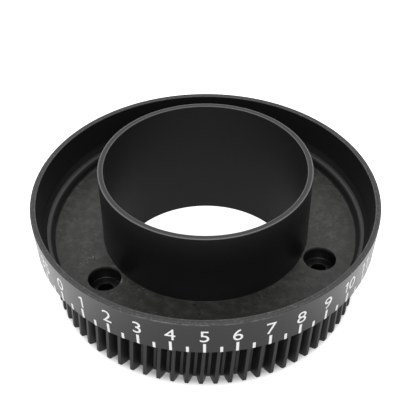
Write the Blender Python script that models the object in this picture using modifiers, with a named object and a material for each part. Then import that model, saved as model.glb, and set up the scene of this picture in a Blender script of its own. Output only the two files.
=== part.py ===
"""Adjusting gear ring: a black moulded ring with helical teeth, a numbered rim and a central collar.

The origin is the centre of the flat bottom face, +Z runs up the axis, and lengths are in metres.
The front, where a tooth stands on the centre line at the top of the toothed band, is at -Y.
"""
import math

import bmesh
import bpy
from mathutils import Matrix, Vector

# Teeth: a 20 degree involute worm wheel for a single-start worm
MODULE = 0.00125
TOOTH_COUNT = 72
PRESSURE_ANGLE = math.radians(20)
LEAD_ANGLE = math.radians(3.8)
ADDENDUM = 1.0 * MODULE
DEDENDUM = 1.25 * MODULE
TOOTH_THINNING = 0.00006
FACE_WIDTH = 0.0160
TIP_ROUND = 0.0008
ROOT_FILLET = 0.00025

# Rim: the numbered band stands out over the teeth on a plain neck
RIM_OVERHANG = 0.00455
NECK_HEIGHT = 0.0031
BAND_HEIGHT = 0.0115
BAND_DRAFT = 0.00050
RIM_LAND = 0.0016
RIM_EDGE_ROUND = 0.00020
BAND_FOOT_ROUND = 0.00020

# Recess inside the rim: a drafted wall, a steeper foot, a flat ledge and a step down to the deck
WALL_DRAFT = 0.0011
WALL_FOOT_DEPTH = 0.0081
FOOT_DRAFT = 0.00095
LEDGE_DEPTH = 0.0105
LEDGE_WIDTH = 0.00150
LEDGE_ROUND = 0.00070
STEP_DRAFT = 0.00060
DECK_RISE = 0.0009
DECK_THICKNESS = 0.0026

# Collar and bore
BORE_RADIUS = 0.0280
BORE_DRAFT = 0.0011
BORE_CHAMFER = 0.0004
COLLAR_WALL = 0.0016
COLLAR_RISE = 0.0099
COLLAR_EDGE_ROUND = 0.00020
COLLAR_FOOT_FILLET = 0.00015

# Cored underside: a channel between the sleeve and the toothed wall, with bosses and ribs across it
SLEEVE_WALL = 0.0029
TOOTH_WALL = 0.0025
CHANNEL_DRAFT = 0.0002
BOSS_COUNT = 3
BOSS_WALL = 0.0015
FIRST_BOSS_ANGLE = math.radians(-52.5)
RIBS_PER_GAP = 2
RIB_THICKNESS = 0.0016
RIB_SETBACK = 0.0020

# Screw holes, one down each boss
COUNTERBORE_RADIUS = 0.0047
COUNTERBORE_DEPTH = 0.0044
SCREW_HOLE_RADIUS = 0.00225

# How finely round forms are faceted, and the angle past which an edge stays sharp in shading
TURN_STEPS = 108
HOLE_STEPS = 32
ROUND_STEPS = 2
SHARP_ANGLE = math.radians(25)

# A corner's round takes at most this share of either edge beside it
MOST_EDGE_SHARE = 0.45

# Tools pass this far through the faces that they cut or join, and points this near become one
OVERLAP = 0.0006
MERGE_DISTANCE = 0.00001

# Satin black moulded plastic
PLASTIC_COLOR = (0.020, 0.020, 0.021, 1)
PLASTIC_ROUGHNESS = 0.42

PITCH_RADIUS = MODULE * TOOTH_COUNT / 2
TIP_RADIUS = PITCH_RADIUS + ADDENDUM
ROOT_RADIUS = PITCH_RADIUS - DEDENDUM
RIM_RADIUS = TIP_RADIUS + RIM_OVERHANG

BAND_FOOT_Z = FACE_WIDTH + NECK_HEIGHT
RIM_Z = BAND_FOOT_Z + BAND_HEIGHT
DECK_Z = FACE_WIDTH + DECK_RISE
LEDGE_Z = RIM_Z - LEDGE_DEPTH
COLLAR_Z = RIM_Z + COLLAR_RISE
CHANNEL_ROOF_Z = DECK_Z - DECK_THICKNESS

COLLAR_RADIUS = BORE_RADIUS + BORE_DRAFT + COLLAR_WALL
SLEEVE_RADIUS = BORE_RADIUS + SLEEVE_WALL
CHANNEL_RADIUS = ROOT_RADIUS - TOOTH_WALL
BOSS_CIRCLE_RADIUS = (SLEEVE_RADIUS + CHANNEL_RADIUS) / 2
BOSS_RADIUS = COUNTERBORE_RADIUS + BOSS_WALL


def collection(name):
    made = bpy.data.collections.new(name)
    bpy.context.scene.collection.children.link(made)
    return made


def object_from(bm, name, home):
    """A new object that holds the bmesh, in the collection given."""
    mesh = bpy.data.meshes.new(name)
    bm.to_mesh(mesh)
    bm.free()
    made = bpy.data.objects.new(name, mesh)
    home.objects.link(made)
    return made


def as_cutter(obj):
    obj.hide_render = True
    obj.display_type = "WIRE"
    return obj


def front_turn(angle):
    """The turn about the axis that takes +X to the angle given, counted from the front towards +X."""
    return Matrix.Rotation(angle - math.pi / 2, 4, "Z")


def rounded_outline(corners):
    """The outline's points, with an arc of the radius given at each corner that has one."""
    points = []
    for i, (r, z, radius) in enumerate(corners):
        corner = Vector((r, z))
        if not radius:
            points.append(corner)
            continue
        back = Vector(corners[i - 1][:2]) - corner
        ahead = Vector(corners[(i + 1) % len(corners)][:2]) - corner
        half_angle = back.angle(ahead) / 2
        shorter = min(back.length, ahead.length)
        reach = min(radius / math.tan(half_angle), shorter * MOST_EDGE_SHARE)
        radius = reach * math.tan(half_angle)
        inward = (back.normalized() + ahead.normalized()).normalized()
        centre = corner + inward * radius / math.sin(half_angle)
        start = corner + back.normalized() * reach - centre
        end = corner + ahead.normalized() * reach - centre
        for k in range(ROUND_STEPS + 1):
            points.append(centre + start.slerp(end, k / ROUND_STEPS).normalized() * radius)
    return points


def ring_outline():
    """Half section of the turned form as (radius, height, corner round), clockwise from the collar's top."""
    wall_top = RIM_RADIUS - RIM_LAND
    wall_foot = wall_top - WALL_DRAFT
    ledge_outer = wall_foot - FOOT_DRAFT
    ledge_inner = ledge_outer - LEDGE_WIDTH
    deck_outer = ledge_inner - STEP_DRAFT
    bore_top = BORE_RADIUS + BORE_DRAFT
    return rounded_outline([
        (bore_top, COLLAR_Z, COLLAR_EDGE_ROUND),
        (COLLAR_RADIUS, COLLAR_Z, COLLAR_EDGE_ROUND),
        (COLLAR_RADIUS, DECK_Z, COLLAR_FOOT_FILLET),
        (deck_outer, DECK_Z, 0),
        (ledge_inner, LEDGE_Z, LEDGE_ROUND),
        (ledge_outer, LEDGE_Z, 0),
        (wall_foot, RIM_Z - WALL_FOOT_DEPTH, 0),
        (wall_top, RIM_Z, RIM_EDGE_ROUND),
        (RIM_RADIUS, RIM_Z, RIM_EDGE_ROUND),
        (RIM_RADIUS - BAND_DRAFT, BAND_FOOT_Z, BAND_FOOT_ROUND),
        (TIP_RADIUS, BAND_FOOT_Z, 0),
        (TIP_RADIUS, 0, TIP_ROUND),
        (CHANNEL_RADIUS, 0, 0),
        (CHANNEL_RADIUS - CHANNEL_DRAFT, CHANNEL_ROOF_Z, 0),
        (SLEEVE_RADIUS + CHANNEL_DRAFT, CHANNEL_ROOF_Z, 0),
        (SLEEVE_RADIUS, 0, 0),
        (BORE_RADIUS + BORE_CHAMFER, 0, 0),
        (BORE_RADIUS, BORE_CHAMFER, 0),
    ])


def turned_ring(home):
    """The ring before its teeth and holes are cut: the half section turned about the axis."""
    bm = bmesh.new()
    corners = [bm.verts.new((point.x, 0, point.y)) for point in ring_outline()]
    for i, corner in enumerate(corners):
        bm.edges.new((corner, corners[(i + 1) % len(corners)]))
    ring = object_from(bm, "gear_ring", home)
    screw = ring.modifiers.new("turn", "SCREW")
    screw.steps = TURN_STEPS
    screw.render_steps = TURN_STEPS
    screw.use_merge_vertices = True
    screw.merge_threshold = MERGE_DISTANCE
    return ring


def involute(angle):
    return math.tan(angle) - angle


def half_gap_angle(radius):
    """Half of the angle that the space between two teeth spans at this radius."""
    base_radius = PITCH_RADIUS * math.cos(PRESSURE_ANGLE)
    flank_angle = math.acos(min(1, base_radius / radius))
    half_tooth = (math.pi * MODULE / 2 - TOOTH_THINNING) / (2 * PITCH_RADIUS)
    half_tooth += involute(PRESSURE_ANGLE) - involute(flank_angle)
    return math.pi / TOOTH_COUNT - half_tooth


def gap_section():
    """The outline of one tooth space about +X, from past the tip on one side to past it on the other."""
    flank = [TIP_RADIUS + OVERLAP, TIP_RADIUS, PITCH_RADIUS, ROOT_RADIUS + ROOT_FILLET]
    half = [(radius, half_gap_angle(radius)) for radius in flank]
    half.append((ROOT_RADIUS, half_gap_angle(ROOT_RADIUS) - ROOT_FILLET / ROOT_RADIUS))
    turns = half + [(radius, -angle) for radius, angle in reversed(half)]
    return [Vector((radius * math.cos(angle), radius * math.sin(angle), 0)) for radius, angle in turns]


def tooth_space_cutter(home):
    """All the tooth spaces as one cutter: a twisted bar for each, so the teeth lean with the worm's lead."""
    bm = bmesh.new()
    foot = bm.faces.new([bm.verts.new(point) for point in gap_section()])
    top = bmesh.ops.extrude_face_region(bm, geom=[foot])
    lifted = [item for item in top["geom"] if isinstance(item, bmesh.types.BMVert)]
    bar_height = FACE_WIDTH + OVERLAP
    twist = bar_height * math.tan(LEAD_ANGLE) / PITCH_RADIUS
    bmesh.ops.translate(bm, verts=foot.verts, vec=(0, 0, -OVERLAP))
    bmesh.ops.translate(bm, verts=lifted, vec=(0, 0, FACE_WIDTH))
    bmesh.ops.rotate(bm, verts=foot.verts, matrix=Matrix.Rotation(-twist, 3, "Z"))
    bmesh.ops.recalc_face_normals(bm, faces=bm.faces)
    half_pitch = math.pi / TOOTH_COUNT
    bmesh.ops.transform(bm, matrix=front_turn(half_pitch), verts=bm.verts)
    bmesh.ops.spin(
        bm,
        geom=bm.verts[:] + bm.edges[:] + bm.faces[:],
        axis=(0, 0, 1),
        angle=2 * math.pi * (TOOTH_COUNT - 1) / TOOTH_COUNT,
        steps=TOOTH_COUNT - 1,
        use_duplicate=True,
    )
    return as_cutter(object_from(bm, "tooth_spaces", home))


def add_cylinder(bm, radius, bottom, top, place):
    """A cylinder on the boss circle, between two heights, turned to its place."""
    lift = Matrix.Translation((BOSS_CIRCLE_RADIUS, 0, (bottom + top) / 2))
    bmesh.ops.create_cone(
        bm,
        cap_ends=True,
        segments=HOLE_STEPS,
        radius1=radius,
        radius2=radius,
        depth=top - bottom,
        matrix=place @ lift,
    )


def boss_places():
    return [front_turn(FIRST_BOSS_ANGLE + 2 * math.pi * k / BOSS_COUNT) for k in range(BOSS_COUNT)]


def bosses(home):
    """The screw bosses across the channel, flush with the bottom face."""
    bm = bmesh.new()
    for place in boss_places():
        add_cylinder(bm, BOSS_RADIUS, 0, CHANNEL_ROOF_Z + OVERLAP, place)
    return as_cutter(object_from(bm, "bosses", home))


def ribs(home):
    """Radial ribs between the bosses, set back from the bottom face."""
    bm = bmesh.new()
    inner = SLEEVE_RADIUS - OVERLAP
    outer = CHANNEL_RADIUS + OVERLAP
    top = CHANNEL_ROOF_Z + OVERLAP
    size = Matrix.Diagonal((outer - inner, RIB_THICKNESS, top - RIB_SETBACK, 1))
    centre = Matrix.Translation(((inner + outer) / 2, 0, (top + RIB_SETBACK) / 2))
    step = 2 * math.pi / BOSS_COUNT / (RIBS_PER_GAP + 1)
    for place in boss_places():
        for k in range(1, RIBS_PER_GAP + 1):
            turn = Matrix.Rotation(k * step, 4, "Z")
            bmesh.ops.create_cube(bm, size=1, matrix=turn @ place @ centre @ size)
    return as_cutter(object_from(bm, "ribs", home))


def counterbores(home):
    bm = bmesh.new()
    for place in boss_places():
        add_cylinder(bm, COUNTERBORE_RADIUS, DECK_Z - COUNTERBORE_DEPTH, DECK_Z + OVERLAP, place)
    return as_cutter(object_from(bm, "counterbores", home))


def screw_holes(home):
    bm = bmesh.new()
    for place in boss_places():
        add_cylinder(bm, SCREW_HOLE_RADIUS, -OVERLAP, DECK_Z - COUNTERBORE_DEPTH / 2, place)
    return as_cutter(object_from(bm, "screw_holes", home))


def combine(obj, tool, operation):
    boolean = obj.modifiers.new(tool.name, "BOOLEAN")
    boolean.object = tool
    boolean.operation = operation
    boolean.solver = "EXACT"


def black_plastic():
    material = bpy.data.materials.new("black_plastic")
    material.use_nodes = True
    shader = material.node_tree.nodes["Principled BSDF"]
    shader.inputs["Base Color"].default_value = PLASTIC_COLOR
    shader.inputs["Roughness"].default_value = PLASTIC_ROUGHNESS
    shader.inputs["Metallic"].default_value = 0.0
    return material


def fix_mesh(obj):
    """Turns the modifiers' result into the object's own mesh, smooth but for its real edges."""
    graph = bpy.context.evaluated_depsgraph_get()
    mesh = bpy.data.meshes.new_from_object(obj.evaluated_get(graph))
    obj.modifiers.clear()
    obj.data = mesh
    mesh.name = obj.name
    mesh.shade_smooth()
    mesh.set_sharp_from_angle(angle=SHARP_ANGLE)


def build():
    for obj in list(bpy.data.objects):
        bpy.data.objects.remove(obj)
    parts = collection("adjusting_gear_ring")
    cutters = collection("cutters")
    ring = turned_ring(parts)
    combine(ring, bosses(cutters), "UNION")
    combine(ring, ribs(cutters), "UNION")
    combine(ring, tooth_space_cutter(cutters), "DIFFERENCE")
    combine(ring, counterbores(cutters), "DIFFERENCE")
    combine(ring, screw_holes(cutters), "DIFFERENCE")
    fix_mesh(ring)
    ring.data.materials.clear()
    ring.data.materials.append(black_plastic())


build()
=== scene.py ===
"""Black moulded adjusting ring: worm-wheel teeth, a numbered rim over them and a collar in the middle.

Lengths are in metres, +Z runs up the axis from the flat bottom face, and the front is at -Y.
"""
import math

import bmesh
import bpy
from mathutils import Matrix, Vector


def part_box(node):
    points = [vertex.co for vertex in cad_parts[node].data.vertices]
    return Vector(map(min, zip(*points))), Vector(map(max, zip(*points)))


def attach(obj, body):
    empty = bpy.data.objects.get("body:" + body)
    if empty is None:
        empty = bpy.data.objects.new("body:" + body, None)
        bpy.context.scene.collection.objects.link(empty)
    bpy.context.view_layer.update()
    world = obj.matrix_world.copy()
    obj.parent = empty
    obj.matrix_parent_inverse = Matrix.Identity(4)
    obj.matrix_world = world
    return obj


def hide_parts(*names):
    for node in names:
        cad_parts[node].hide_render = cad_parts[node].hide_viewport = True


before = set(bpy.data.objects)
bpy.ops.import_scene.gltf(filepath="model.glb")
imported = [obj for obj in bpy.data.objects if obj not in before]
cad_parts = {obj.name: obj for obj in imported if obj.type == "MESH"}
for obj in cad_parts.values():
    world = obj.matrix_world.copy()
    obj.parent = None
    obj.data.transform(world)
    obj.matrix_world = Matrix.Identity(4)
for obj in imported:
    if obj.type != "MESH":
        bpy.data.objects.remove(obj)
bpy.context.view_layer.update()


# The ring's turned form
# One black nylon moulding. All of it but the teeth, screw bosses and ribs is a half section turned
# about the axis: the band and rim, the ledge and deck, the collar round the bore, the cored channel.

RIM_RADIUS = 0.0508
RIM_LAND = 0.0016
BAND_HEIGHT = 0.0115
BAND_DRAFT = 0.0005
NECK_HEIGHT = 0.0031
WALL_DRAFT = 0.0011
WALL_FOOT_DEPTH = 0.0081
FOOT_DRAFT = 0.00095
LEDGE_DEPTH = 0.0105
LEDGE_WIDTH = 0.0015
STEP_DRAFT = 0.0006
STEP_DEPTH = 0.0032
DECK_THICKNESS = 0.0026
COLLAR_RISE = 0.0099
COLLAR_WALL = 0.0016
BORE_RADIUS = 0.0280
BORE_DRAFT = 0.0011
BORE_CHAMFER = 0.0004
SLEEVE_WALL = 0.0029
TOOTH_WALL = 0.0025
CHANNEL_DRAFT = 0.0002

EDGE_ROUND = 0.00015
LEDGE_ROUND = 0.0014
LEDGE_FILLET = 0.0002
BAND_FOOT_ROUND = 0.0002
MOUTH_ROUND = 0.0002
CORNER_FILLET = 0.0003
COLLAR_FOOT_FILLET = 0.00015
ROOF_FILLET = 0.0008
ARC_STEP = math.radians(18)

MODULE = 0.00125
TOOTH_COUNT = 72
PITCH_RADIUS = MODULE * TOOTH_COUNT / 2
TIP_RADIUS = PITCH_RADIUS + MODULE
ROOT_RADIUS = PITCH_RADIUS - 1.25 * MODULE
CHANNEL_RADIUS = ROOT_RADIUS - TOOTH_WALL
SLEEVE_RADIUS = BORE_RADIUS + SLEEVE_WALL
BORE_TOP_RADIUS = BORE_RADIUS + BORE_DRAFT
COLLAR_RADIUS = BORE_TOP_RADIUS + COLLAR_WALL
WALL_FOOT_RADIUS = RIM_RADIUS - RIM_LAND - WALL_DRAFT
LEDGE_OUTER_RADIUS = WALL_FOOT_RADIUS - FOOT_DRAFT
LEDGE_INNER_RADIUS = LEDGE_OUTER_RADIUS - LEDGE_WIDTH
DECK_RADIUS = LEDGE_INNER_RADIUS - STEP_DRAFT

COLLAR_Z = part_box("gear_ring")[1].z
RIM_Z = COLLAR_Z - COLLAR_RISE
BAND_FOOT_Z = RIM_Z - BAND_HEIGHT
TEETH_Z = BAND_FOOT_Z - NECK_HEIGHT
LEDGE_Z = RIM_Z - LEDGE_DEPTH
DECK_Z = LEDGE_Z - STEP_DEPTH
ROOF_Z = DECK_Z - DECK_THICKNESS


def ring_point(radius, turn, z):
    """A point on the ring, with its turn counted from the front towards +X."""
    return Vector((radius * math.sin(turn), -radius * math.cos(turn), z))


def rounded(corners):
    """An outline with an arc at each corner (radius, height, round) whose round isn't zero."""
    points = []
    for before, (r, z, reach), after in zip([corners[0]] + corners, corners, corners[1:] + [corners[-1]]):
        corner = Vector((r, z))
        if not reach:
            points.append(corner)
            continue
        back = (Vector(before[:2]) - corner).normalized()
        ahead = (Vector(after[:2]) - corner).normalized()
        half_angle = back.angle(ahead) / 2
        centre = corner + (back + ahead).normalized() * reach / math.sin(half_angle)
        start = corner + back * reach / math.tan(half_angle) - centre
        swing = (math.pi - 2 * half_angle) * (1 if back.cross(ahead) < 0 else -1)
        steps = max(2, round(abs(swing) / ARC_STEP))
        for k in range(steps + 1):
            points.append(centre + Matrix.Rotation(swing * k / steps, 2) @ start)
    return points


def half_section():
    """From the neck over the teeth, round the rim, deck, collar and bore, to the channel's mouth."""
    return rounded([
        (TIP_RADIUS, TEETH_Z, 0),
        (TIP_RADIUS, BAND_FOOT_Z, CORNER_FILLET),
        (RIM_RADIUS - BAND_DRAFT, BAND_FOOT_Z, BAND_FOOT_ROUND),
        (RIM_RADIUS, RIM_Z, EDGE_ROUND),
        (RIM_RADIUS - RIM_LAND, RIM_Z, EDGE_ROUND),
        (WALL_FOOT_RADIUS, RIM_Z - WALL_FOOT_DEPTH, CORNER_FILLET),
        (LEDGE_OUTER_RADIUS, LEDGE_Z, LEDGE_FILLET),
        (LEDGE_INNER_RADIUS, LEDGE_Z, LEDGE_ROUND),
        (DECK_RADIUS, DECK_Z, CORNER_FILLET),
        (COLLAR_RADIUS, DECK_Z, COLLAR_FOOT_FILLET),
        (COLLAR_RADIUS, COLLAR_Z, EDGE_ROUND),
        (BORE_TOP_RADIUS, COLLAR_Z, EDGE_ROUND),
        (BORE_RADIUS, BORE_CHAMFER, MOUTH_ROUND),
        (BORE_RADIUS + BORE_CHAMFER, 0, MOUTH_ROUND),
        (SLEEVE_RADIUS, 0, MOUTH_ROUND),
        (SLEEVE_RADIUS + CHANNEL_DRAFT, ROOF_Z, ROOF_FILLET),
        (CHANNEL_RADIUS - CHANNEL_DRAFT, ROOF_Z, ROOF_FILLET),
        (CHANNEL_RADIUS, 0, 0),
    ])


# The nylon
# Injection-moulded nylon, dyed black right through. The deck is dull, with dusty and worn patches, a
# scuff and a pale spot at the left counterbore's edge. The lands on the rim and collar are paler, the
# ledge has a painted highlight, and the lands' edges are grey, partly wear and partly a painted
# highlight. The band's upper edge has a pale line at the front, partly scraped where hands have
# gripped it and partly a painted highlight of its rounded edge.

BLACK = (0.0070, 0.0070, 0.0073, 1)
DECK_BLACK = (0.0300, 0.0306, 0.0276, 1)
DUSTY_BLACK = (0.0580, 0.0582, 0.0524, 1)
DUST = (0.1500, 0.1500, 0.1400, 1)
LAND_BLACK = (0.0250, 0.0256, 0.0246, 1)
WORN_AND_HIGHLIGHT_GREY = (0.1500, 0.1510, 0.1480, 1)
PALE_MARK_GREY = (0.1800, 0.1800, 0.1750, 1)
NYLON_IOR = 1.5

PORE_SIZE = 0.00018
GRAIN_SIZE = 0.0006
MARK_SIZE = 0.00075
BLOTCH_SIZE = 0.0028
SCRAPE_AND_HIGHLIGHT_SIZE = 0.0060
WORN_PATCH_SIZE = 0.0080
GRAIN_DEPTH = 0.00003

DECK_REACH = 0.0010
DECK_EDGE_FADE = 0.0002
COLLAR_LAND_REACH = 0.00016
RIM_LAND_REACH = 0.0003
LEDGE_REACH = 0.0024
BAND_FADE_START = 0.0008
BAND_FADE_END = 0.0006
INSIDE_FADE_START = 0.0010
INSIDE_FADE_END = 0.0014
BORE_FADE_START = 0.0003
BORE_FADE_END = 0.00015
COLLAR_EDGE_LINE = 0.0005
BORE_EDGE_LINE = 0.00034
RIM_EDGE_LINE = 0.0003
SCRAPE_AND_HIGHLIGHT_DROP = 0.00035
SCRAPE_AND_HIGHLIGHT_WIDTH = 0.00034
PALE_LINE_X = -0.0030
PALE_LINE_REACH = 0.0270

SCUFF_X = -0.0332
SCUFF_Y = -0.0136
SCUFF_REACH = 0.0020
SCUFF_WIDTH = 0.0005
SCUFF_GROOVE = 0.0006
SCUFF_BEND = 0.0014
SCUFF_WANDER = 0.0060
PALE_SPOT_X = -0.0238
PALE_SPOT_Y = -0.0229
PALE_SPOT_WIDTH = 0.0005
PALE_SPOT_LENGTH = 0.0009
PALE_SPOT_DEPTH = 0.0008


class Value:
    """A node's output that Python's operators work on, each adding a Math node."""

    def __init__(self, tree, socket):
        self.tree = tree
        self.socket = socket

    def __add__(self, other):
        return self.tree.math("ADD", self, other)

    def __radd__(self, other):
        return self.tree.math("ADD", other, self)

    def __sub__(self, other):
        return self.tree.math("SUBTRACT", self, other)

    def __rsub__(self, other):
        return self.tree.math("SUBTRACT", other, self)

    def __mul__(self, other):
        return self.tree.math("MULTIPLY", self, other)

    def __rmul__(self, other):
        return self.tree.math("MULTIPLY", other, self)

    def __truediv__(self, other):
        return self.tree.math("DIVIDE", self, other)


class Tree:
    """A node tree to which nodes are added by their type, settings and sockets."""

    def __init__(self, tree):
        self.tree = tree

    def node(self, kind, settings, sockets, output=0):
        """Adds a node and returns an output. Sockets are named or numbered, and a list fills one."""
        made = self.tree.nodes.new(kind)
        for name, value in settings.items():
            setattr(made, name, value)
        for name, value in sockets.items():
            if not isinstance(value, (Value, list)):
                made.inputs[name].default_value = value
                continue
            for source in value if isinstance(value, list) else [value]:
                self.tree.links.new(source.socket, made.inputs[name])
        return Value(self, made.outputs[output]) if made.outputs else None

    def math(self, operation, *values):
        return self.node("ShaderNodeMath", {"operation": operation}, dict(enumerate(values)))

    def parts(self, vector):
        """The three numbers of a vector."""
        first = self.node("ShaderNodeSeparateXYZ", {}, {"Vector": vector})
        return [Value(self, socket) for socket in first.socket.node.outputs]

    def step(self, value, start, end):
        """A smooth step from 0 where the value is start to 1 where it is end."""
        sockets = {"Value": value, "From Min": start, "From Max": end}
        return self.node("ShaderNodeMapRange", {"interpolation_type": "SMOOTHSTEP"}, sockets)

    def mix(self, factor, first, second):
        """A colour between two others."""
        return self.node("ShaderNodeMix", {"data_type": "RGBA"}, {0: factor, 6: first, 7: second}, 2)

    def noise(self, place, size, detail=3, roughness=0.55):
        """Cloudy noise, whose largest blotches have about this size."""
        sockets = {"Vector": place, "Scale": 1 / size, "Detail": detail, "Roughness": roughness}
        return self.node("ShaderNodeTexNoise", {}, sockets)


def new_material(name):
    """An empty material and its tree."""
    made = bpy.data.materials.new(name)
    made.use_nodes = True
    made.node_tree.nodes.clear()
    return made, Tree(made.node_tree)


def near(tree, value, middle, reach):
    """1 where the value is the middle one, falling to 0 at this reach from it."""
    return tree.step(tree.math("ABSOLUTE", value - middle), reach, reach / 2)


def finish_deck(tree, place, spot, grain, marks):
    """Where the deck is, and the nylon's colour with the deck's dust, wear, scuff and a pale spot."""
    x, y, z, radius = spot
    past_collar = tree.step(radius, COLLAR_RADIUS, COLLAR_RADIUS + DECK_EDGE_FADE)
    deck = near(tree, z, DECK_Z, DECK_REACH) * past_collar
    dusty = deck * tree.step(tree.noise(place, BLOTCH_SIZE, 4, 0.65), 0.40, 0.66)
    worn = deck * tree.step(tree.noise(place, WORN_PATCH_SIZE, 3, 0.6), 0.48, 0.62)
    color = tree.mix(deck, BLACK, DECK_BLACK)
    color = tree.mix(dusty, color, DUSTY_BLACK)
    color = tree.mix(worn * tree.step(marks, 0.43, 0.33), color, BLACK)
    color = tree.mix(deck * (0.1 + worn * 0.7) * tree.step(marks, 0.58, 0.74), color, DUST)

    scuffed = deck * near(tree, x, SCUFF_X, SCUFF_REACH)
    wander = y + (tree.noise(place, SCUFF_BEND, 2, 0.6) - 0.5) * SCUFF_WANDER
    burr = scuffed * near(tree, wander, SCUFF_Y, SCUFF_WIDTH) * tree.step(grain, 0.40, 0.55)
    groove = scuffed * near(tree, wander, SCUFF_Y - SCUFF_GROOVE, SCUFF_WIDTH)
    color = tree.mix(burr, color, DUST)
    color = tree.mix(groove, color, BLACK)
    # A pale spot at the left counterbore's edge.
    pale_spot = near(tree, x, PALE_SPOT_X, PALE_SPOT_WIDTH) * near(tree, y, PALE_SPOT_Y, PALE_SPOT_LENGTH)
    return deck, tree.mix(pale_spot * near(tree, z, DECK_Z, PALE_SPOT_DEPTH), color, PALE_MARK_GREY)


def wear_lands(tree, spot, grain, marks, inside, collar_land, color):
    """The colour with both lands paler, a painted highlight on the ledge, and the lands' edges grey, partly
    wear and partly painted highlight.
    """
    z, radius = spot[2:]
    rim_inner = RIM_RADIUS - RIM_LAND
    rim_land = near(tree, z, RIM_Z, RIM_LAND_REACH) * tree.step(radius, WALL_FOOT_RADIUS, rim_inner)
    ledge = near(tree, z, LEDGE_Z, LEDGE_REACH) * tree.step(radius, DECK_RADIUS, LEDGE_INNER_RADIUS)
    # The ledge's paler share is a painted highlight of the lamps above and behind on its rounded shoulder.
    color = tree.mix(collar_land + rim_land + inside * ledge * 0.5, color, LAND_BLACK)
    # The lands' edges are painted grey: partly wear, partly a painted highlight along their rounded edges.
    collar_edge = near(tree, radius, COLLAR_RADIUS, COLLAR_EDGE_LINE)
    bore_edge = near(tree, radius, BORE_TOP_RADIUS, BORE_EDGE_LINE)
    rim_edge = near(tree, radius, rim_inner, RIM_EDGE_LINE)
    collar_wear_and_highlight = (collar_edge + bore_edge) * (0.45 + grain * 0.9)
    rim_wear_and_highlight = rim_edge * 0.30 + tree.step(marks, 0.52, 0.68) * 0.40
    return tree.mix(collar_land * collar_wear_and_highlight + rim_land * rim_wear_and_highlight, color, WORN_AND_HIGHLIGHT_GREY)


def scrape_band(tree, place, spot, band, color):
    """The colour with a pale line on the band's upper edge, partly scraped where hands grip it and partly a
    painted highlight of the rounded edge.
    """
    x, z = spot[0], spot[2]
    upper_edge = band * near(tree, z, RIM_Z - SCRAPE_AND_HIGHLIGHT_DROP, SCRAPE_AND_HIGHLIGHT_WIDTH)
    scrapes_and_highlights = tree.step(tree.noise(place, SCRAPE_AND_HIGHLIGHT_SIZE, 4, 0.7), 0.40, 0.60)
    # The pale line is partly scrapes and partly a painted highlight along the band's rounded upper edge.
    return tree.mix(upper_edge * near(tree, x, PALE_LINE_X, PALE_LINE_REACH) * scrapes_and_highlights * 0.7, color, PALE_MARK_GREY)


def black_nylon():
    """The ring's one material, whose finish changes with the place on the ring."""
    made, tree = new_material("black_nylon")
    place = tree.node("ShaderNodeTexCoord", {}, {}, 3)
    x, y, z = tree.parts(place)
    radius = tree.math("SQRT", x * x + y * y)
    spot = x, y, z, radius
    grain = tree.noise(place, GRAIN_SIZE, 3, 0.6)
    marks = tree.noise(place, MARK_SIZE, 3, 0.6)

    band = tree.step(radius, RIM_RADIUS - BAND_FADE_START, RIM_RADIUS - BAND_FADE_END)
    inside = tree.step(radius, RIM_RADIUS - INSIDE_FADE_START, RIM_RADIUS - INSIDE_FADE_END)
    bore = tree.step(radius, BORE_TOP_RADIUS + BORE_FADE_START, BORE_TOP_RADIUS + BORE_FADE_END)
    collar_land = near(tree, z, COLLAR_Z, COLLAR_LAND_REACH)
    deck, color = finish_deck(tree, place, spot, grain, marks)
    color = wear_lands(tree, spot, grain, marks, inside, collar_land, color)
    color = scrape_band(tree, place, spot, band, color)

    walls = inside * (1 - deck) * (1 - collar_land)
    rough = 0.42 + deck * 0.04 + grain * 0.08 - band * 0.14 + bore * 0.14 - walls * 0.10
    height = grain * 0.6 + tree.noise(place, PORE_SIZE, 2) * 0.4
    bump = tree.node("ShaderNodeBump", {}, {"Strength": 0.35, "Distance": GRAIN_DEPTH, "Height": height})
    surface = tree.node(
        "ShaderNodeBsdfPrincipled",
        {},
        {"Base Color": color, "Roughness": rough, "IOR": NYLON_IOR, "Normal": bump},
    )
    tree.node("ShaderNodeOutputMaterial", {}, {"Surface": surface})
    return made


nylon = black_nylon()


# The teeth
# Seventy-two involute teeth for a single-start worm, leaning with its lead. Each has a rounded foot
# and a fillet in its root, and ends at a flat roof under the neck. One tooth's wedge of the whole
# ring is made here, and Geometry Nodes set its copies round the axis.

PRESSURE_ANGLE = math.radians(20)
LEAD_ANGLE = math.radians(3.8)
TOOTH_THINNING = 0.00006
TIP_ROUND = 0.0008
TIP_EDGE_ROUND = 0.00012
FOOT_INSET = 0.0003
ROOT_FILLET = 0.0003
ROUND_STEPS = 4
FLANK_STEPS = 5
FOOT_LEVELS = 6
FACE_LEVELS = 6
GAP_TURNS = 3
MERGE_DISTANCE = 0.000001


def half_tooth(radius):
    """Half of the angle that a tooth spans at this radius."""
    flank_angle = math.acos(PITCH_RADIUS * math.cos(PRESSURE_ANGLE) / radius)
    involutes = math.tan(PRESSURE_ANGLE) - PRESSURE_ANGLE - math.tan(flank_angle) + flank_angle
    return (math.pi * MODULE / 2 - TOOTH_THINNING) / (2 * PITCH_RADIUS) + involutes


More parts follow.
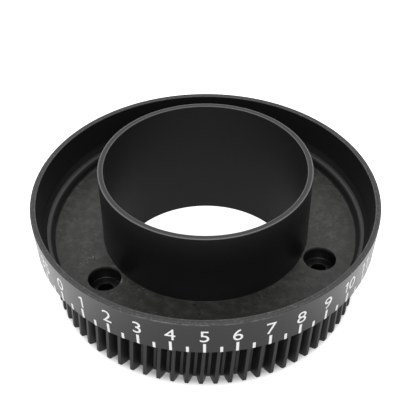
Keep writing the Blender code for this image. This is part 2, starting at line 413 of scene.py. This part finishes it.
def tooth_outline(tip, inset):
    """One tooth as (radius, turn), from the middle of the gap before it to the middle of the next."""
    root = ROOT_RADIUS - inset
    flank_foot = root + ROOT_FILLET
    flank_top = tip - TIP_EDGE_ROUND
    half = []
    for k in range(ROUND_STEPS):
        swing = math.pi / 2 * k / ROUND_STEPS
        reach = ROOT_FILLET * (1 - math.sin(swing)) / root
        half.append((flank_foot - ROOT_FILLET * math.cos(swing), -half_tooth(flank_foot) - reach))
    for k in range(FLANK_STEPS + 1):
        radius = flank_foot + (flank_top - flank_foot) * k / FLANK_STEPS
        half.append((radius, -half_tooth(radius)))
    for k in range(1, ROUND_STEPS + 1):
        swing = math.pi / 2 * k / ROUND_STEPS
        reach = TIP_EDGE_ROUND * (1 - math.cos(swing)) / tip
        half.append((flank_top + TIP_EDGE_ROUND * math.sin(swing), reach - half_tooth(flank_top)))
    half = [(radius, turn + inset / radius) for radius, turn in half]
    half = [(root, -math.pi / TOOTH_COUNT)] + half
    return half + [(tip, 0)] + [(radius, -turn) for radius, turn in reversed(half)]


def foot_level(swing):
    """The height, tip radius and inset of the tooth's section part of the way round its foot."""
    shy = 1 - math.sin(swing)
    return TIP_ROUND * (1 - math.cos(swing)), TIP_RADIUS - TIP_ROUND * shy, FOOT_INSET * shy


def grid(bm, rows):
    """Faces between neighbouring rows of vertices."""
    for low, high in zip(rows, rows[1:]):
        for k in range(len(low) - 1):
            bm.faces.new((low[k], low[k + 1], high[k + 1], high[k]))


def object_from(bm, name):
    mesh = bpy.data.meshes.new(name)
    bm.to_mesh(mesh)
    bm.free()
    made = bpy.data.objects.new(name, mesh)
    bpy.context.scene.collection.objects.link(made)
    return made


def one_pitch():
    """The wedge of the ring that holds one tooth, open at its two cut sides."""
    outline = tooth_outline(TIP_RADIUS, 0)
    middle = len(outline) // 2
    land_turn = outline[middle + 1][1]
    gap_turn = math.pi / TOOTH_COUNT
    right = [land_turn + (gap_turn - land_turn) * k / GAP_TURNS for k in range(GAP_TURNS + 1)]
    turns = [-turn for turn in reversed(right)] + [0] + right
    levels = [foot_level(math.pi / 2 * k / FOOT_LEVELS) for k in range(FOOT_LEVELS)]
    for k in range(FACE_LEVELS + 1):
        levels.append((TIP_ROUND + (TEETH_Z - TIP_ROUND) * k / FACE_LEVELS, TIP_RADIUS, 0))

    bm = bmesh.new()
    body = []
    for point in half_section():
        body.append([bm.verts.new(ring_point(point.x, turn, point.y)) for turn in turns])
    teeth = []
    for z, tip, inset in levels:
        lean = (z - TEETH_Z) * math.tan(LEAD_ANGLE) / PITCH_RADIUS
        teeth.append([bm.verts.new(ring_point(r, turn + lean, z)) for r, turn in tooth_outline(tip, inset)])
    grid(bm, body)
    grid(bm, teeth)
    bm.faces.new(teeth[0] + body[-1][::-1])
    bm.faces.new(teeth[-1][:middle] + body[0][GAP_TURNS - 1::-1])
    bm.faces.new(teeth[-1][middle + 1:] + body[0][:GAP_TURNS + 2:-1])
    return object_from(bm, "gear_ring_body")


def new_shaping(name, inputs):
    """An empty Geometry Nodes tree with these inputs, and what reads each of them."""
    group = bpy.data.node_groups.new(name, "GeometryNodeTree")
    for title, kind in {"Geometry": "Geometry", **inputs}.items():
        group.interface.new_socket(title, in_out="INPUT", socket_type="NodeSocket" + kind)
    group.interface.new_socket("Geometry", in_out="OUTPUT", socket_type="NodeSocketGeometry")
    tree = Tree(group)
    first = group.nodes.new("NodeGroupInput")
    return tree, {socket.name: Value(tree, socket) for socket in first.outputs if socket.name}


def settle(obj):
    """Makes what the modifiers give the object's own mesh."""
    bpy.context.view_layer.update()
    mesh = bpy.data.meshes.new_from_object(obj.evaluated_get(bpy.context.evaluated_depsgraph_get()))
    obj.modifiers.clear()
    obj.data = mesh
    mesh.name = obj.name


def shape(obj, tree, values):
    """Shapes the object with a Geometry Nodes tree and these inputs."""
    shaping = obj.modifiers.new("shaping", "NODES")
    shaping.node_group = tree.tree
    for item in tree.tree.interface.items_tree:
        if item.in_out == "INPUT" and item.name in values:
            shaping[item.identifier] = values[item.name]
    settle(obj)


def copies_round_axis():
    """Copies of the geometry, evenly spaced round the axis and sewn where they touch."""
    inputs = {"Copies": "Int", "Merge Distance": "Float", "Material": "Material"}
    tree, given = new_shaping("copies_round_axis", inputs)
    points = tree.node("GeometryNodePoints", {}, {"Count": given["Copies"]})
    turn = tree.node("GeometryNodeInputIndex", {}, {}) * (2 * math.pi) / given["Copies"]
    facing = tree.node("ShaderNodeCombineXYZ", {}, {"Z": turn})
    copies = tree.node(
        "GeometryNodeInstanceOnPoints",
        {},
        {"Points": points, "Instance": given["Geometry"], "Rotation": facing},
    )
    real = tree.node("GeometryNodeRealizeInstances", {}, {"Geometry": copies})
    sewn = tree.node(
        "GeometryNodeMergeByDistance",
        {},
        {"Geometry": real, "Distance": given["Merge Distance"]},
    )
    dressed = tree.node(
        "GeometryNodeSetMaterial",
        {},
        {"Geometry": sewn, "Material": given["Material"]},
    )
    tree.node("NodeGroupOutput", {}, {"Geometry": dressed})
    return tree


def outward(obj):
    """Clears faces of no area from a closed mesh and turns the others outwards."""
    bm = bmesh.new()
    bm.from_mesh(obj.data)
    bmesh.ops.dissolve_degenerate(bm, dist=MERGE_DISTANCE, edges=bm.edges)
    bmesh.ops.recalc_face_normals(bm, faces=bm.faces)
    bm.to_mesh(obj.data)
    bm.free()


round_axis = copies_round_axis()
ring = one_pitch()
shape(ring, round_axis, {"Copies": TOOTH_COUNT, "Merge Distance": MERGE_DISTANCE, "Material": nylon})
outward(ring)


# Screw bosses, ribs and holes
# Three bosses across the cored channel carry the screws that hold the ring down, each with a
# counterbore for a socket head, and two ribs stiffen the deck between every pair of them.

BOSS_COUNT = 3
FIRST_BOSS_TURN = math.radians(-52.5)
BOSS_CIRCLE_RADIUS = (SLEEVE_RADIUS + CHANNEL_RADIUS) / 2
COUNTERBORE_RADIUS = 0.0047
COUNTERBORE_DEPTH = 0.0044
COUNTERBORE_LIP = 0.00018
COUNTERBORE_FILLET = 0.0003
SCREW_HOLE_RADIUS = 0.00225
HOLE_BREAK = 0.00012
BOSS_WALL = 0.0015
BOSS_RADIUS = COUNTERBORE_RADIUS + BOSS_WALL
BOSS_SEGMENTS = 72
RIB_THICKNESS = 0.0016
RIB_SETBACK = 0.0020
RIBS_PER_GAP = 2
OVERLAP = 0.0006
SHARP_ANGLE = math.radians(32)


def turned(bm, outline, place, segments):
    """Adds a closed solid, turned round the upright line through a place. The outline runs upwards."""
    rows = []
    for point in outline:
        turns = [2 * math.pi * k / segments for k in range(segments)]
        spots = [place + Vector((point.x * math.cos(a), point.x * math.sin(a), point.y)) for a in turns]
        rows.append([bm.verts.new(spot) for spot in spots])
    grid(bm, [row + row[:1] for row in rows])
    bm.faces.new(rows[0][::-1])
    bm.faces.new(rows[-1])


def at_each_boss(bm, name):
    """An object from the mesh, copied round the ring."""
    made = object_from(bm, name)
    shape(made, round_axis, {"Copies": BOSS_COUNT, "Merge Distance": 0.0, "Material": nylon})
    outward(made)
    return made


def bosses():
    bm = bmesh.new()
    outline = rounded([(BOSS_RADIUS, 0, 0), (BOSS_RADIUS, ROOF_Z + OVERLAP, 0)])
    turned(bm, outline, ring_point(BOSS_CIRCLE_RADIUS, FIRST_BOSS_TURN, 0), BOSS_SEGMENTS)
    return at_each_boss(bm, "bosses")


def ribs():
    bm = bmesh.new()
    inner = SLEEVE_RADIUS - OVERLAP
    outer = CHANNEL_RADIUS + OVERLAP
    size = Vector((RIB_THICKNESS, outer - inner, ROOF_Z + OVERLAP - RIB_SETBACK, 1))
    middle = Vector((0, -(inner + outer) / 2, (ROOF_Z + OVERLAP + RIB_SETBACK) / 2))
    for k in range(1, RIBS_PER_GAP + 1):
        turn = FIRST_BOSS_TURN + 2 * math.pi / BOSS_COUNT * k / (RIBS_PER_GAP + 1)
        bar = Matrix.Rotation(turn, 4, "Z") @ Matrix.Translation(middle) @ Matrix.Diagonal(size)
        bmesh.ops.create_cube(bm, size=1, matrix=bar)
    return at_each_boss(bm, "ribs")


def screw_holes():
    """The air in each hole: the screw's clearance, the head's counterbore and its rounded lip."""
    bm = bmesh.new()
    seat_z = DECK_Z - COUNTERBORE_DEPTH
    outline = rounded([
        (SCREW_HOLE_RADIUS + HOLE_BREAK + OVERLAP, -OVERLAP, 0),
        (SCREW_HOLE_RADIUS, HOLE_BREAK, 0),
        (SCREW_HOLE_RADIUS, seat_z, HOLE_BREAK),
        (COUNTERBORE_RADIUS, seat_z, COUNTERBORE_FILLET),
        (COUNTERBORE_RADIUS, DECK_Z, COUNTERBORE_LIP),
        (COUNTERBORE_RADIUS + OVERLAP, DECK_Z, 0),
        (COUNTERBORE_RADIUS + OVERLAP, DECK_Z + OVERLAP, 0),
    ])
    turned(bm, outline, ring_point(BOSS_CIRCLE_RADIUS, FIRST_BOSS_TURN, 0), BOSS_SEGMENTS)
    return at_each_boss(bm, "screw_holes")


def combine(tool, operation):
    """Joins a tool to the ring or cuts it away, and removes the tool."""
    step = ring.modifiers.new(tool.name, "BOOLEAN")
    step.operation = operation
    step.solver = "MANIFOLD"
    step.object = tool
    settle(ring)
    bpy.data.objects.remove(tool)


combine(bosses(), "UNION")
combine(ribs(), "UNION")
combine(screw_holes(), "DIFFERENCE")
outward(ring)
ring.data.polygons.foreach_set("use_smooth", [True] * len(ring.data.polygons))
ring.data.set_sharp_from_angle(angle=SHARP_ANGLE)
shading = ring.modifiers.new("shading", "WEIGHTED_NORMAL")
shading.keep_sharp = True
settle(ring)
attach(ring, "root")
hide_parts("gear_ring")


# The white scale
# Numbers 0 to 35 and a tick at each half unit, pad-printed on the band in white ink: a thin film
# that follows the band's draft. The ink lies a little unevenly, and the print's second stretch, from
# 6 to 11, sits a hair short of its place.

UNITS = 36
FRONT_UNIT = 5
SHORT_UNITS = range(6, 12)
SHORTFALL = 0.00028
UNIT_TURN = 2 * math.pi / UNITS
NUMERAL_HEIGHT = 0.00425
NUMERAL_FOOT_Z = RIM_Z - 0.61 * BAND_HEIGHT
NUMERAL_SPACING = 0.0028
FONT_FIGURE_HEIGHT = 0.68
FONT_WELD = 0.0001
TICK_WIDTH = 0.00076
TICK_FOOT_Z = BAND_FOOT_Z + 0.00012
LONG_TICK_TOP_Z = RIM_Z - 0.68 * BAND_HEIGHT
SHORT_TICK_TOP_Z = RIM_Z - 0.80 * BAND_HEIGHT
INK_PROUD = 0.00003
INK_BURIED = 0.00003
INK_PATCH_SIZE = 0.0012
INK_GRAIN_SIZE = 0.0003
INK_GRAIN_DEPTH = 0.00002
INK_WHITE = (0.95, 0.95, 0.94, 1)
THIN_INK = (0.78, 0.78, 0.78, 1)
BENDS = 4
BEND_STEP = 0.0006
BEND_SNAP = 0.0000001


def white_ink():
    made, tree = new_material("white_ink")
    place = tree.node("ShaderNodeTexCoord", {}, {}, 3)
    thin = tree.step(tree.noise(place, INK_PATCH_SIZE, 3, 0.6), 0.50, 0.80)
    bump = tree.node(
        "ShaderNodeBump",
        {},
        {"Strength": 0.3, "Distance": INK_GRAIN_DEPTH, "Height": tree.noise(place, INK_GRAIN_SIZE)},
    )
    surface = tree.node(
        "ShaderNodeBsdfPrincipled",
        {},
        {
            "Base Color": tree.mix(thin * 0.25, INK_WHITE, THIN_INK),
            "Roughness": 0.45 + thin * 0.15,
            "Normal": bump,
        },
    )
    tree.node("ShaderNodeOutputMaterial", {}, {"Surface": surface})
    return made


def drawn_one():
    """The outline of a 1 with a short flag, one unit high. The font has only a bare stroke."""
    outline = [(0, 0), (0.13, 0), (0.13, 1), (0.03, 1), (-0.19, 0.85), (-0.165, 0.72), (0, 0.83)]
    bm = bmesh.new()
    bm.faces.new([bm.verts.new((x, y, 0)) for x, y in outline])
    return bm


def typed_figure(figure):
    """A figure from the built-in font, one unit high."""
    curve = bpy.data.curves.new("figure", "FONT")
    curve.body = figure
    curve.resolution_u = 4
    typed = bpy.data.objects.new("figure", curve)
    bpy.context.scene.collection.objects.link(typed)
    bpy.context.view_layer.update()
    mesh = bpy.data.meshes.new_from_object(typed.evaluated_get(bpy.context.evaluated_depsgraph_get()))
    bpy.data.objects.remove(typed)
    bm = bmesh.new()
    bm.from_mesh(mesh)
    bmesh.ops.remove_doubles(bm, verts=bm.verts, dist=FONT_WELD)
    bmesh.ops.scale(bm, verts=bm.verts, vec=Vector((1, 1, 1)) / FONT_FIGURE_HEIGHT)
    return bm


def figures():
    """Each figure's flat mesh at its printed size, centred on the Y axis with its foot on the X axis."""
    made = {}
    for figure in "0123456789":
        bm = drawn_one() if figure == "1" else typed_figure(figure)
        bmesh.ops.scale(bm, verts=bm.verts, vec=Vector((1, 1, 1)) * NUMERAL_HEIGHT)
        across = [vert.co.x for vert in bm.verts]
        bmesh.ops.translate(bm, verts=bm.verts, vec=(-(min(across) + max(across)) / 2, 0, 0))
        for k in range(-BENDS, BENDS + 1):
            geom = bm.verts[:] + bm.edges[:] + bm.faces[:]
            place = Vector((k * BEND_STEP, 0, 0))
            bmesh.ops.bisect_plane(bm, geom=geom, dist=BEND_SNAP, plane_co=place, plane_no=(1, 0, 0))
        mesh = bpy.data.meshes.new("figure_" + figure)
        bm.to_mesh(mesh)
        bm.free()
        made[figure] = mesh
    return made


def laid_flat():
    """Every number's figures in a row along X, as far apart as they are round the band."""
    flat = figures()
    bm = bmesh.new()
    for unit in range(UNITS):
        written = str(unit)
        for k, figure in enumerate(written):
            before = len(bm.verts)
            bm.from_mesh(flat[figure])
            bm.verts.ensure_lookup_table()
            middle = (unit - FRONT_UNIT) * UNIT_TURN * RIM_RADIUS
            x = middle + (k - (len(written) - 1) / 2) * NUMERAL_SPACING
            if unit in SHORT_UNITS:
                x -= SHORTFALL
            bmesh.ops.translate(bm, verts=bm.verts[before:], vec=(x, NUMERAL_FOOT_Z, -INK_BURIED))
    raised = bmesh.ops.extrude_face_region(bm, geom=bm.faces[:], use_keep_orig=True)["geom"]
    lifted = [item for item in raised if isinstance(item, bmesh.types.BMVert)]
    bmesh.ops.translate(bm, verts=lifted, vec=(0, 0, INK_BURIED + INK_PROUD))
    return object_from(bm, "scale_print")


def wrap_round_band():
    """Adds the ticks to the flat numbers and bends all of it round the band."""
    inputs = {
        "Ticks": "Int",
        "Tick Pitch": "Float",
        "Tick Width": "Float",
        "Shortfall": "Float",
        "Short Middle": "Float",
        "Short Reach": "Float",
        "Tick Foot": "Float",
        "Long Tick": "Float",
        "Short Tick": "Float",
        "Film": "Float",
        "Buried": "Float",
        "Material": "Material",
    }
    tree, given = new_shaping("wrap_round_band", inputs)
    index = tree.node("GeometryNodeInputIndex", {}, {})
    odd = tree.math("MODULO", index, 2)
    short = tree.math("COMPARE", index, given["Short Middle"], given["Short Reach"]) * given["Shortfall"]
    length = given["Long Tick"] - odd * (given["Long Tick"] - given["Short Tick"])
    spot = tree.node(
        "ShaderNodeCombineXYZ",
        {},
        {
            "X": index * given["Tick Pitch"] - short,
            "Y": given["Tick Foot"] + length / 2,
            "Z": given["Film"] / 2 - given["Buried"],
        },
    )
    spots = tree.node("GeometryNodePoints", {}, {"Count": given["Ticks"], "Position": spot})
    block = tree.node("ShaderNodeCombineXYZ", {}, {"X": given["Tick Width"], "Y": 1, "Z": given["Film"]})
    tick = tree.node("GeometryNodeMeshCube", {}, {"Size": block, "Vertices X": 3})
    ticks = tree.node(
        "GeometryNodeInstanceOnPoints",
        {},
        {
            "Points": spots,
            "Instance": tick,
            "Scale": tree.node("ShaderNodeCombineXYZ", {}, {"X": 1, "Y": length, "Z": 1}),
        },
    )
    flat = tree.node("GeometryNodeJoinGeometry", {}, {"Geometry": [given["Geometry"], ticks]})
    real = tree.node("GeometryNodeRealizeInstances", {}, {"Geometry": flat})
    x, y, z = tree.parts(tree.node("GeometryNodeInputPosition", {}, {}))
    turn = x / RIM_RADIUS
    radius = RIM_RADIUS - (RIM_Z - y) * (BAND_DRAFT / BAND_HEIGHT) + z
    bent = tree.node(
        "ShaderNodeCombineXYZ",
        {},
        {"X": radius * tree.math("SINE", turn), "Y": radius * tree.math("COSINE", turn) * -1, "Z": y},
    )
    wrapped = tree.node("GeometryNodeSetPosition", {}, {"Geometry": real, "Position": bent})
    dressed = tree.node("GeometryNodeSetMaterial", {}, {"Geometry": wrapped, "Material": given["Material"]})
    tree.node("NodeGroupOutput", {}, {"Geometry": dressed})
    return tree


scale = laid_flat()
shape(scale, wrap_round_band(), {
    "Ticks": 2 * UNITS,
    "Tick Pitch": UNIT_TURN / 2 * RIM_RADIUS,
    "Tick Width": TICK_WIDTH,
    "Shortfall": SHORTFALL,
    "Short Middle": SHORT_UNITS[0] + SHORT_UNITS[-1] - 2 * FRONT_UNIT + 0.5,
    "Short Reach": float(len(SHORT_UNITS)),
    "Tick Foot": TICK_FOOT_Z,
    "Long Tick": LONG_TICK_TOP_Z - TICK_FOOT_Z,
    "Short Tick": SHORT_TICK_TOP_Z - TICK_FOOT_Z,
    "Film": INK_PROUD + INK_BURIED,
    "Buried": INK_BURIED,
    "Material": white_ink(),
})
outward(scale)
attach(scale, "root")


# The floor
# A white sweep under the ring, made white to the camera by a glow that is left off at the teeth's feet
# as a painted shade. Its mirror image on the ring carries a painted shadow, dim in front of the ring
# where the ring's own shadow would fall, and dim in the bore.

FLOOR_REACH = 3.0
FLOOR_WHITE = (0.80, 0.80, 0.80, 1)
FEET_SHADE = 0.0440
FEET_CLEAR = 0.0485
SHADOW_X = 0.0020
SHADOW_Y = -0.0300
SHADOW_CORE = 0.0440
SHADOW_EDGE = 0.0590
SHADOW_GLOW = 0.25
BORE_GLOW = 0.22


def sweep_paper():
    made, tree = new_material("sweep_paper")
    rays = tree.node("ShaderNodeLightPath", {}, {}).socket.node.outputs
    seen, mirrored, through = [
        Value(tree, rays[name]) for name in ("Is Camera Ray", "Is Glossy Ray", "Is Transmission Ray")
    ]
    x, y = tree.parts(tree.node("ShaderNodeTexCoord", {}, {}, 3))[:2]
    radius = tree.math("SQRT", x * x + y * y)
    # Near the teeth's feet the camera's glow is left off: a painted shade over the floor's own shadow
    # there.
    clear = tree.step(radius, FEET_SHADE, FEET_CLEAR)
    in_bore = tree.step(radius, SLEEVE_RADIUS, BORE_RADIUS)
    aside = x - SHADOW_X
    behind = y - SHADOW_Y
    lit = tree.step(tree.math("SQRT", aside * aside + behind * behind), SHADOW_CORE, SHADOW_EDGE)
    # Painted shadow in the mirrored glow: a soft circle in front of the ring, and a dim glow in the bore as
    # painted shade.
    image = clear * (SHADOW_GLOW + lit * (1 - SHADOW_GLOW)) + in_bore * BORE_GLOW
    strength = seen * (clear + in_bore) + tree.math("MAXIMUM", mirrored, through) * image
    paper = tree.node("ShaderNodeBsdfDiffuse", {}, {"Color": FLOOR_WHITE})
    glow = tree.node("ShaderNodeEmission", {}, {"Strength": strength})
    both = tree.node("ShaderNodeAddShader", {}, {0: paper, 1: glow})
    tree.node("ShaderNodeOutputMaterial", {}, {"Surface": both})
    return made


def floor_sheet():
    bm = bmesh.new()
    bmesh.ops.create_grid(bm, x_segments=4, y_segments=4, size=FLOOR_REACH)
    return object_from(bm, "floor")


floor = floor_sheet()
floor.data.materials.append(sweep_paper())


# The lights
# A pale room with a broad soft box overhead and behind, as the roof of a light tent, another in front
# and a weak one at the left.

ROOM_STRENGTH = 0.38


def room_light():
    room = bpy.data.worlds.new("room")
    bpy.context.scene.world = room
    room.use_nodes = True
    room.node_tree.nodes.clear()
    tree = Tree(room.node_tree)
    glow = tree.node("ShaderNodeBackground", {}, {"Color": (1, 1, 1, 1), "Strength": ROOM_STRENGTH})
    tree.node("ShaderNodeOutputWorld", {}, {"Surface": glow})


def soft_box(name, place, width, height, power):
    """A soft box that faces the ring."""
    lamp = bpy.data.lights.new(name, "AREA")
    lamp.shape = "RECTANGLE"
    lamp.size = width
    lamp.size_y = height
    lamp.energy = power
    box = bpy.data.objects.new(name, lamp)
    bpy.context.scene.collection.objects.link(box)
    aim = Vector((0, 0, RIM_Z)) - Vector(place)
    box.matrix_world = Matrix.Translation(place) @ aim.to_track_quat("-Z", "Y").to_matrix().to_4x4()


room_light()
soft_box("roof_box", (0, 0.55, 0.78), 1.4, 0.7, 3.6)
soft_box("front_box", (0, -0.9, 0.8), 0.7, 0.7, 7.2)
soft_box("left_box", (-0.8, 0, 0.6), 0.7, 0.7, 0.9)


# The camera
# It stands in front of the ring, a hair to the right and about forty degrees up, at the distance that
# fits the photo's rings and number marks.

VIEW_DISTANCE = 0.2505
VIEW_RISE = math.radians(40.47)
VIEW_TURN = math.radians(0.37)
VIEW_ROLL = math.radians(-0.14)
AIM_DROP = 0.0054
LENS = 75.11

camera = bpy.data.objects.new("camera", bpy.data.cameras.new("camera"))
camera.data.lens = LENS
camera.data.sensor_width = 36
camera.data.clip_start = 0.01
spot = Vector((0, -VIEW_DISTANCE * math.cos(VIEW_RISE), VIEW_DISTANCE * math.sin(VIEW_RISE) + RIM_Z))
aim = Vector((0, 0, RIM_Z - AIM_DROP)) - spot
facing = aim.to_track_quat("-Z", "Y").to_matrix().to_4x4() @ Matrix.Rotation(VIEW_ROLL, 4, "Z")
camera.matrix_world = Matrix.Rotation(VIEW_TURN, 4, "Z") @ Matrix.Translation(spot) @ facing
bpy.context.scene.collection.objects.link(camera)
bpy.context.scene.camera = camera
bpy.context.scene.view_settings.view_transform = "Standard"
